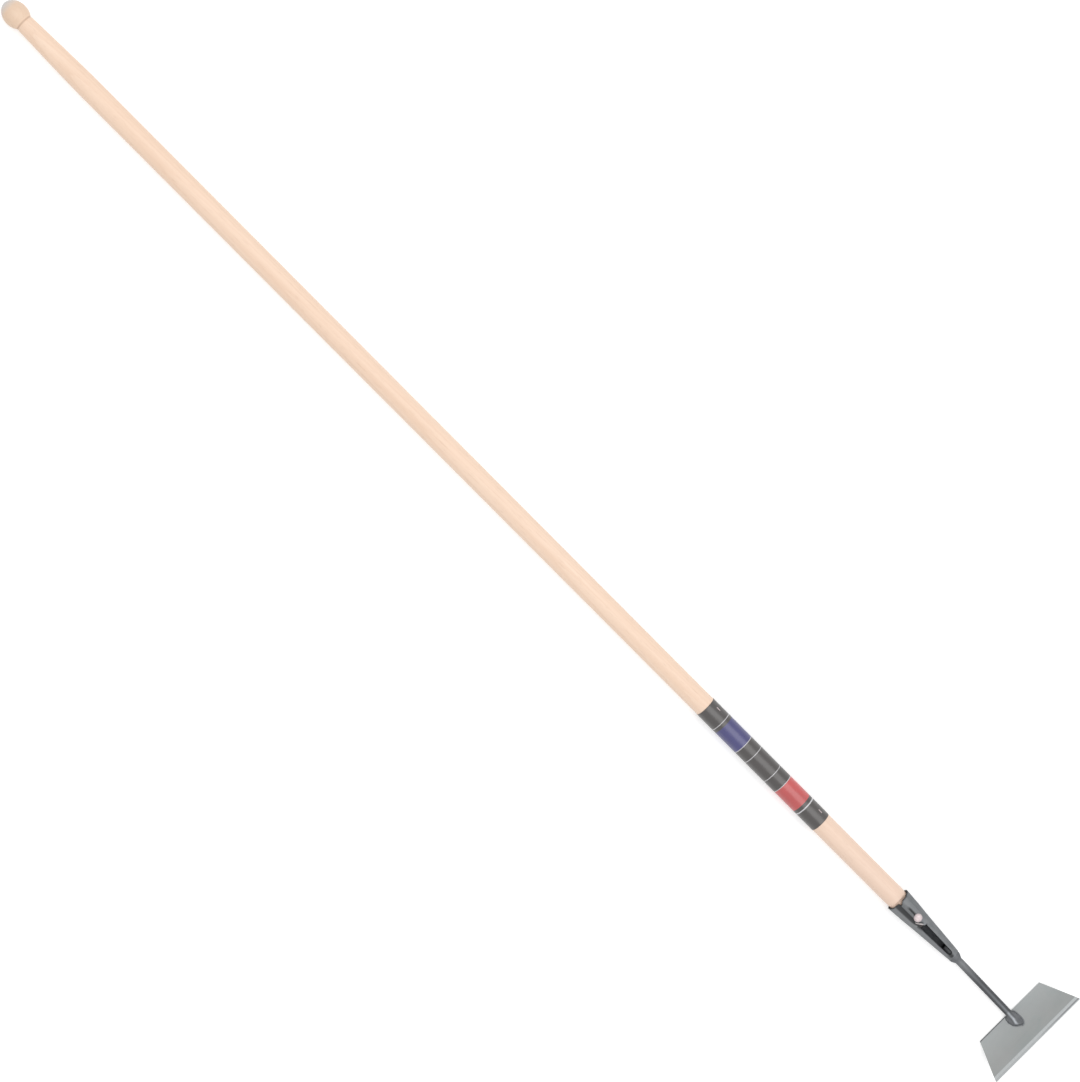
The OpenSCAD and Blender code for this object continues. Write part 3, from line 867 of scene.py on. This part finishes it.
neck_line = worked(
    ash_wood, "MULTIPLY",
    spread(ash_wood, along_pole, knob_x + 31.8, knob_x + 33.2),
    spread(ash_wood, along_pole, knob_x + 35, knob_x + 33.8, 0.0, 0.55),
)
wood = tinted(ash_wood, neck_line, wood, groove_brown)
# Painted shade: the knob's end goes over to grey.
knob_end_shade = spread(ash_wood, along_pole, knob_x + 12, knob_x + 2, 0.0, 0.95)
wood = tinted(ash_wood, knob_end_shade, wood, knob_end_shade_grey)
# Painted shade: the wood turns brown just inside the socket's mouth.
shaded_tail_share = spread(ash_wood, along_pole, mouth_x + 4, mouth_x + 9, 0.0, 0.7)
wood = tinted(ash_wood, shaded_tail_share, wood, tail_shade_brown)
# Painted shade: further into the socket the wood goes nearly black.
deep_tail_share = spread(ash_wood, along_pole, mouth_x + 8, mouth_x + 30, 0.0, 0.96)
wood = tinted(ash_wood, deep_tail_share, wood, tail_shade_black)
dress(
    ash_wood, wood, spread(ash_wood, fibres, 0.3, 0.7, 0.42, 0.56),
    worked(ash_wood, "SUBTRACT", fibres, pores), 0.00006,
)

handle = bench_piece("ash_handle", handle_mesh, ash_wood, 40)
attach(handle, "root")
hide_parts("handle")


# Handle rivet
# One round-headed zinc plated rivet, put through both wings, the wood and the back of the socket, and
# peened over behind. It keeps the handle from being pulled out of the socket.

rivet_along = 31.5
rivet_turn = 7
rivet_half = 2.5
head_half = 5.5
head_high = 2.8
head_rim = 0.35
head_sunk = 0.9
head_steps = 10
peened_half = 4.5
peened_high = 1.3
peened_rim = 0.3
peened_sunk = 0.6
peened_steps = 8
head_seat = cone_half(rivet_along) + lap_lift
peened_seat = -cone_half(rivet_along)

zinc_shade = (0.53, 0.455, 0.462, 1)
zinc_light = (0.615, 0.535, 0.54, 1)
zinc_spot = (0.38, 0.33, 0.33, 1)

rivet = [(head_seat + head_high, 0)]
for step in range(1, head_steps + 1):
    turn = math.pi / 2 * step / head_steps
    crown = head_rim + (head_high - head_rim) * math.cos(turn) ** 0.8
    rivet.append((head_seat + crown, head_half * math.sin(turn)))
rivet += [(head_seat + 0.1, head_half), (head_seat - head_sunk, head_half - 0.25)]
rivet += [(head_seat - head_sunk, rivet_half), (peened_seat + peened_sunk, rivet_half)]
rivet += [(peened_seat + peened_sunk, peened_half - peened_rim)]
rivet += [(peened_seat - 0.1, peened_half)]
for step in range(peened_steps + 1):
    turn = math.pi / 2 * (1 - step / peened_steps)
    crown = peened_rim + (peened_high - peened_rim) * math.cos(turn)
    rivet.append((peened_seat - crown, peened_half * math.sin(turn) * 0.98))

rivet_mesh = bmesh.new()
outward = Matrix.Rotation(math.radians(-rivet_turn), 4, "X") @ Matrix.Rotation(math.radians(-90), 4, "Y")
turned(rivet_mesh, rivet, 56, Matrix.Translation((mouth_x + rivet_along, 0, axis_z)) @ outward)

bright_zinc = new_finish("bright_zinc", Metallic=0.9)
zinc = tinted(
    bright_zinc, spread(bright_zinc, noise(bright_zinc, (420, 420, 420), 3), 0.35, 0.65),
    zinc_shade, zinc_light,
)
zinc = tinted(
    bright_zinc, spread(bright_zinc, noise(bright_zinc, (1500, 1500, 1500), 2), 0.62, 0.74, 0.0, 0.5),
    zinc, zinc_spot,
)
dress(
    bright_zinc, zinc, spread(bright_zinc, noise(bright_zinc, (700, 700, 700), 2), 0.3, 0.7, 0.48, 0.6),
    noise(bright_zinc, (520, 520, 520), 2), 0.0002,
)

handle_rivet = bench_piece("handle_rivet_bright", rivet_mesh, bright_zinc, 45)
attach(handle_rivet, "root")
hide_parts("handle_rivet")


# Label film
# A sheet of dark satin film wrapped once round the handle, with its lap on the underside. It is printed
# with plain coloured hoops, and its two cut ends stand a hair off the wood.

film_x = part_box("label_sleeve")[0].x * 1000
film_end_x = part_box("label_sleeve")[1].x * 1000
film_length = film_end_x - film_x
film_half = 14.36
film_thick = 0.3
film_over = 0.32
film_first = 172
film_lap = 14
film_steps = 136
film_edge_rows = (0, 0.6, 1.4, 2.5, 4, 6)

# Where each hoop starts along the film, and its ink
hoops = (
    (0, "charcoal"), (26, "white"), (27.2, "charcoal"), (32, "blue"), (66, "white"), (67.2, "charcoal"),
    (84, "white"), (85, "charcoal"), (118, "white"), (119, "charcoal"), (136, "white"), (137.2, "red"),
    (171, "charcoal"), (176, "white"), (177.2, "charcoal"),
)
inks = {
    "charcoal": (0.057, 0.05, 0.048, 1), "white": (0.68, 0.67, 0.69, 1),
    "blue": (0.05, 0.048, 0.19, 1), "red": (0.62, 0.085, 0.085, 1),
}
scuff_grey = (0.2, 0.19, 0.19, 1)
film_black = (0.03, 0.03, 0.03, 1)


def on_film(row, turn):
    """A point of the film's outer side, lifted over its own edge at the lap and at its two ends."""
    over = ease(turn, film_first + 354, film_first + 362)
    end = ease(min(row, film_length - row), 5, 0)
    ripple = 0.05 + 0.05 * math.sin(math.radians(turn) * 5 + row * 0.2)
    return round_axis(film_x - mouth_x + row, film_half + film_over * over + end * ripple, turn)


film_rows = [*film_edge_rows] + [8 + (film_length - 16) * step / 50 for step in range(51)]
film_rows += [film_length - row for row in reversed(film_edge_rows)]
film_turns = [film_first + (360 + film_lap) * step / film_steps for step in range(film_steps + 1)]
film_mesh = bmesh.new()
rolled_sheet(film_mesh, film_rows, film_turns, on_film)

printed_film = new_finish("printed_film", Specular_IOR_Level=0.85)
print_edge = spread(printed_film, noise(printed_film, (900, 900, 900), 2), 0.0, 1.0, -0.25, 0.25)
print_run = spread(
    printed_film, worked(printed_film, "ADD", place_mm(printed_film, "X"), print_edge), film_x, film_end_x,
)
bands = node(printed_film, "ValToRGB", {"Fac": print_run})
bands.color_ramp.interpolation = "CONSTANT"
bands.color_ramp.elements[0].color = inks[hoops[0][1]]
bands.color_ramp.elements[-1].color = inks[hoops[-1][1]]
for place, ink in hoops[1:]:
    bands.color_ramp.elements.new(place / film_length).color = inks[ink]
scuffs = spread(printed_film, noise(printed_film, (60, 420, 420), 4, 0.65), 0.62, 0.76, 0.0, 0.35)
film_colour = tinted(printed_film, scuffs, bands.outputs["Color"], scuff_grey)
film_colour = tinted(
    printed_film, spread(printed_film, noise(printed_film, (18, 60, 60), 3), 0.3, 0.7, 0.0, 0.22),
    film_colour, film_black,
)
dress(
    printed_film, film_colour,
    spread(printed_film, noise(printed_film, (35, 120, 120), 3), 0.3, 0.7, 0.26, 0.36),
    noise(printed_film, (60, 240, 240), 3), 0.00012,
)

label_film = bench_piece("label_film", film_mesh, printed_film, 60)
gauge = label_film.modifiers.new("gauge", "SOLIDIFY")
gauge.thickness = film_thick / 1000
gauge.offset = -1
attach(label_film, "root")
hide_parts("label_sleeve")


# Film staples
# Two flat wire staples, shot through the film into the wood, one near each end and in line with the
# handle. Each is one bent wire of bright zinc plated steel with its crown pressed close to the film.

crown_length = 6
wire_wide = 1.1
wire_thick = 0.6
wire_round = 0.2
leg_length = 7
staple_turn = 40
staple_inset = 12
staple_sink = 0.05
first_x = film_x + staple_inset
second_x = film_end_x - staple_inset

staple_mesh = bmesh.new()
wire = bmesh.ops.create_cube(staple_mesh, size=1)["verts"]
bmesh.ops.scale(staple_mesh, vec=(crown_length, wire_wide, wire_thick), verts=wire)
for side in (-1, 1):
    bend_x = side * (crown_length / 2 - wire_thick)
    whole = staple_mesh.verts[:] + staple_mesh.edges[:] + staple_mesh.faces[:]
    bmesh.ops.bisect_plane(staple_mesh, geom=whole, plane_co=(bend_x, 0, 0), plane_no=(1, 0, 0))
staple_mesh.faces.ensure_lookup_table()
tips = [
    face for face in staple_mesh.faces
    if face.normal.z < -0.9 and abs(face.calc_center_median().x) > crown_length / 2 - wire_thick
]
for tip in tips:
    drawn = bmesh.ops.extrude_face_region(staple_mesh, geom=[tip])["geom"]
    drawn = [part for part in drawn if isinstance(part, bmesh.types.BMVert)]
    bmesh.ops.translate(staple_mesh, vec=(0, 0, -leg_length), verts=drawn)
bmesh.ops.delete(staple_mesh, geom=[tip for tip in tips if tip.is_valid], context="FACES_ONLY")
bmesh.ops.recalc_face_normals(staple_mesh, faces=staple_mesh.faces)
rounded = [
    edge for edge in staple_mesh.edges if edge.calc_face_angle(0) > math.radians(30) and edge.is_convex
]
bmesh.ops.bevel(
    staple_mesh, geom=rounded, offset=wire_round, offset_type="OFFSET", segments=3, profile=0.5,
    affect="EDGES", clamp_overlap=True, material=-1,
)
first_staple = staple_mesh.verts[:] + staple_mesh.edges[:] + staple_mesh.faces[:]
second_staple = bmesh.ops.duplicate(staple_mesh, geom=first_staple)["geom"]
second_staple = [part for part in second_staple if isinstance(part, bmesh.types.BMVert)]
bmesh.ops.translate(staple_mesh, vec=(second_x - first_x, 0, 0), verts=second_staple)
crown_seat = Matrix.Translation((first_x, 0, axis_z)) @ Matrix.Rotation(math.radians(-staple_turn), 4, "X")
crown_seat = crown_seat @ Matrix.Translation((0, 0, film_half + wire_thick / 2 - staple_sink))
bmesh.ops.transform(staple_mesh, matrix=crown_seat, verts=staple_mesh.verts)

staples = bench_piece("film_staples", staple_mesh, bright_zinc, 45)
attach(staples, "root")
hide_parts("sleeve_staples")


# Studio
# A white floor that keeps the hoe's soft shadow, even white light from all round, one broad soft lamp
# overhead, and a long lens looking down on the hoe laid from corner to corner.

def shows_white(finish):
    """1 for what the camera sees directly, in gloss or through glass, and 0 for light falling on things."""
    path = node(finish, "LightPath", {})
    seen = worked(finish, "MAXIMUM", path.outputs["Is Camera Ray"], path.outputs["Is Glossy Ray"])
    return worked(finish, "MAXIMUM", seen, path.outputs["Is Transmission Ray"])


white = (1, 1, 1, 1)
floor_white = (0.86, 0.86, 0.86, 1)
floor_lift = 0.37
floor_half = 15000
floor_drop = 0.3
sky_light = 0.72
lamp_from = Vector((0.22, 0.24, 0.95))
view_tilt = math.radians(5)
view_roll = math.radians(45.09926)
eye = (-0.27574, -0.00031, 3.34122)

floor_mesh = bmesh.new()
bmesh.ops.create_grid(floor_mesh, x_segments=1, y_segments=1, size=floor_half)
bmesh.ops.translate(floor_mesh, vec=(0, 0, -floor_drop), verts=floor_mesh.verts)
white_floor = new_finish(
    "white_floor", Base_Color=floor_white, Roughness=1.0, Specular_IOR_Level=0.0, Emission_Color=white,
)
white_floor.node_tree.links.new(
    worked(white_floor, "MULTIPLY", shows_white(white_floor), floor_lift),
    white_floor.node_tree.nodes["Principled BSDF"].inputs["Emission Strength"],
)
floor = bench_piece("studio_floor", floor_mesh, white_floor)

studio = bpy.data.worlds.new("studio")
bpy.context.scene.world = studio
studio.use_nodes = True
sky = studio.node_tree.nodes["Background"]
sky.inputs["Color"].default_value = white
studio.node_tree.links.new(
    spread(studio, shows_white(studio), 0.0, 1.0, sky_light, 1.0), sky.inputs["Strength"],
)

soft_lamp = bpy.data.lights.new("soft_lamp", "SUN")
soft_lamp.energy = 1.05
soft_lamp.angle = math.radians(55)
lamp = bpy.data.objects.new("soft_lamp", soft_lamp)
lamp.rotation_euler = lamp_from.to_track_quat("Z", "Y").to_euler()
bpy.context.scene.collection.objects.link(lamp)

view_along = Vector((math.cos(view_tilt), 0, math.sin(view_tilt)))
view_across = Vector((0, 1, 0))
picture_right = view_along * math.cos(view_roll) + view_across * math.sin(view_roll)
picture_up = view_across * math.cos(view_roll) - view_along * math.sin(view_roll)
picture_back = Vector((-math.sin(view_tilt), 0, math.cos(view_tilt)))
view_turn = Matrix((picture_right, picture_up, picture_back)).transposed().to_4x4()
lens = bpy.data.cameras.new("long_lens")
lens.lens = 90
lens.sensor_width = 36
lens.clip_end = 100
camera = bpy.data.objects.new("long_lens", lens)
camera.matrix_world = Matrix.Translation(eye) @ view_turn
bpy.context.scene.collection.objects.link(camera)
bpy.context.scene.camera = camera
bpy.context.scene.view_settings.view_transform = "Standard"
